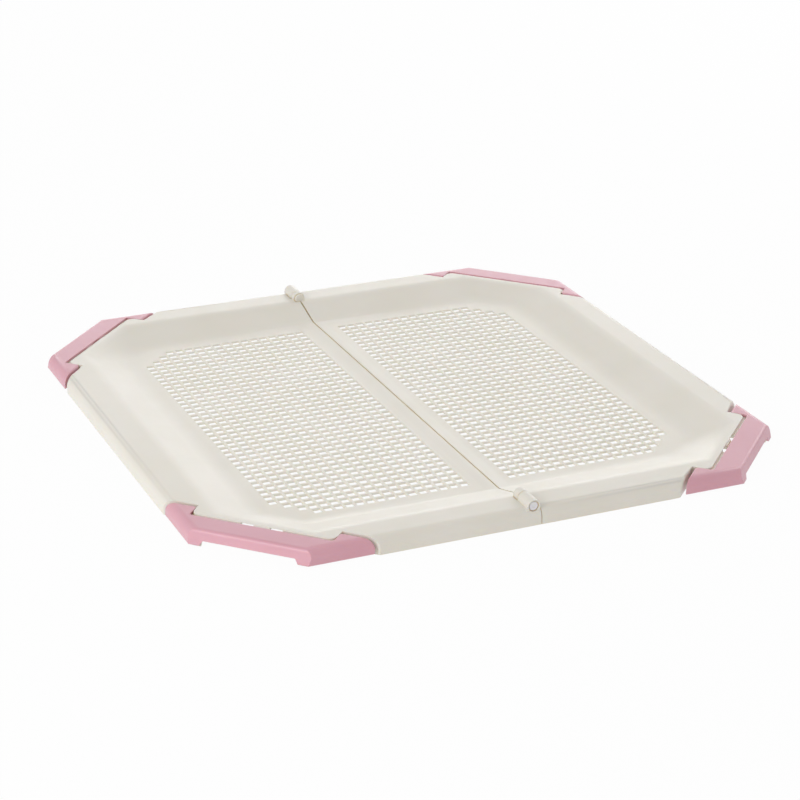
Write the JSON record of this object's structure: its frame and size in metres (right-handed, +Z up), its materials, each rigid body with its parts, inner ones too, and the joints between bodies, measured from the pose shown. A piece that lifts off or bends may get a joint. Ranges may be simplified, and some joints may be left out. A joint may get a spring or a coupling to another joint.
{
  "type": "training pad holder",
  "caption": "Low square folding tray with cut corners and an open mesh floor that holds a pet training pad, pinned down at each corner by a hinged clip.",
  "frame": {"origin": "on the ground, under the middle of the flat tray, where the seam between the halves crosses it", "axes": "+X across the seam towards the right half, +Y along the seam towards the rear, +Z up"},
  "size_m": [0.6, 0.6, 0.0243],
  "materials": {
    "tray_plastic": "satin moulded",
    "clip_plastic": "satin moulded",
    "pin_plastic": "satin moulded"
  },
  "bodies": {
    "left_half": {"left_half": "tray_plastic", "hinge_pin_front": "pin_plastic"},
    "right_half": {"right_half": "tray_plastic", "hinge_pin_rear": "pin_plastic"},
    "clip_front_left": {"clip_front_left": "clip_plastic"},
    "clip_rear_left": {"clip_rear_left": "clip_plastic"},
    "clip_front_right": {"clip_front_right": "clip_plastic"},
    "clip_rear_right": {"clip_rear_right": "clip_plastic"}
  },
  "joints": [
    {"name": "fold", "type": "hinge", "parent": "left_half", "child": "right_half", "pos_m": [0, 0, 0.0178], "axis": [0, 1, 0], "range_deg": [-180, 0]},
    {"name": "clip_front_left_open", "type": "hinge", "parent": "left_half", "child": "clip_front_left", "pos_m": [-0.23193, -0.23193, 0.0094], "axis": [-0.7071, 0.7071, 0], "range_deg": [0, 90]},
    {"name": "clip_rear_left_open", "type": "hinge", "parent": "left_half", "child": "clip_rear_left", "pos_m": [-0.23193, 0.23193, 0.0094], "axis": [0.7071, 0.7071, 0], "range_deg": [0, 90]},
    {"name": "clip_front_right_open", "type": "hinge", "parent": "right_half", "child": "clip_front_right", "pos_m": [0.23193, -0.23193, 0.0094], "axis": [-0.7071, -0.7071, 0], "range_deg": [0, 90]},
    {"name": "clip_rear_right_open", "type": "hinge", "parent": "right_half", "child": "clip_rear_right", "pos_m": [0.23193, 0.23193, 0.0094], "axis": [0.7071, -0.7071, 0], "range_deg": [0, 90]}
  ]
}
